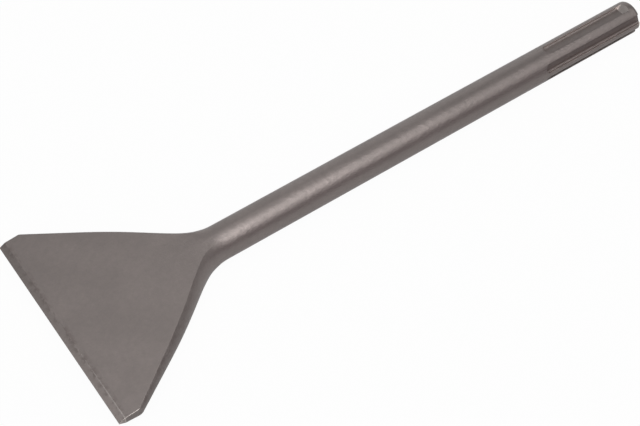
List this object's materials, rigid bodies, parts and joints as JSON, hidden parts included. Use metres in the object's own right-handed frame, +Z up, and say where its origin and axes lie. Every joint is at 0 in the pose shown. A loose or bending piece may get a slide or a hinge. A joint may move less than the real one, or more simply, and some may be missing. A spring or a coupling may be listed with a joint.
{
  "type": "sds chisel",
  "caption": "Wide flat demolition-hammer chisel forged in one piece, with a slotted round shank and a fan-shaped blade ground to a straight cutting edge.",
  "frame": {"origin": "centre of the struck end of the shank, on the axis of the bar", "axes": "+X along the bar from the struck end to the cutting edge; the cutting edge is parallel to Y; +Z is up, square to the broad faces of the blade, as the tool lies flat; the pair of drive slots is on the +Y side"},
  "size_m": [0.35, 0.115, 0.018],
  "materials": {
    "forged_steel": "blasted, matte warm grey"
  },
  "bodies": {
    "root": {"chisel": "forged_steel"}
  },
  "joints": []
}
